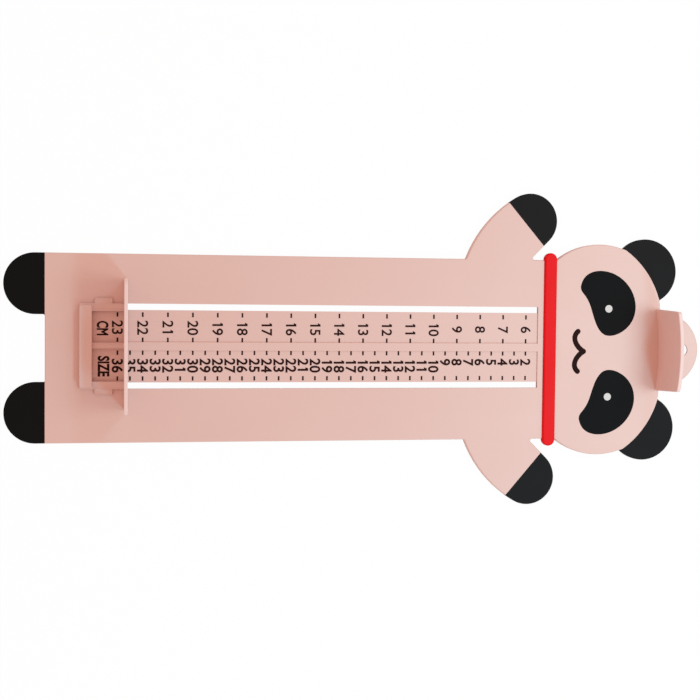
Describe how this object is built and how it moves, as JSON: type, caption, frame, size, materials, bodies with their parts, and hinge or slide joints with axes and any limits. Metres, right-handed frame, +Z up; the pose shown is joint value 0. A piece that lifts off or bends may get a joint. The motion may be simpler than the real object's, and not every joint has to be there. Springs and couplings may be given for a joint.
{
  "type": "foot measuring gauge",
  "caption": "Flat child's foot gauge in a panda outline with a fixed heel stop, a printed ruler between two slots and a sliding toe plate.",
  "frame": {"origin": "on the surface that the gauge lies on, under the middle of its overall outline", "axes": "+X from the panda's feet to its head, along the ruler towards the heel stop; +Y to the side of the centimetre scale; +Z up out of the printed face"},
  "size_m": [0.2918, 0.1316, 0.028],
  "materials": {
    "pink_plastic": "satin moulded",
    "black_plastic": "satin moulded",
    "white_plastic": "satin moulded",
    "red_plastic": "satin moulded",
    "ink": "printed"
  },
  "bodies": {
    "base": {"board": "pink_plastic", "foot_left": "black_plastic", "foot_right": "black_plastic", "hand_left": "black_plastic", "hand_right": "black_plastic", "ear_left": "black_plastic", "ear_right": "black_plastic", "eye_patch_left": "black_plastic", "eye_patch_right": "black_plastic", "eye_dot_left": "white_plastic", "eye_dot_right": "white_plastic", "mouth": "black_plastic", "scarf": "red_plastic", "heel_stop": "pink_plastic", "cm_marks": "ink", "size_marks": "ink"},
    "slider": {"slider_frame": "pink_plastic", "slider_keeper": "pink_plastic", "toe_plate": "pink_plastic"}
  },
  "joints": [
    {"name": "toe_plate_slide", "type": "slide", "parent": "base", "child": "slider", "axis": [1, 0, 0], "range_m": [0, 0.17195]}
  ]
}
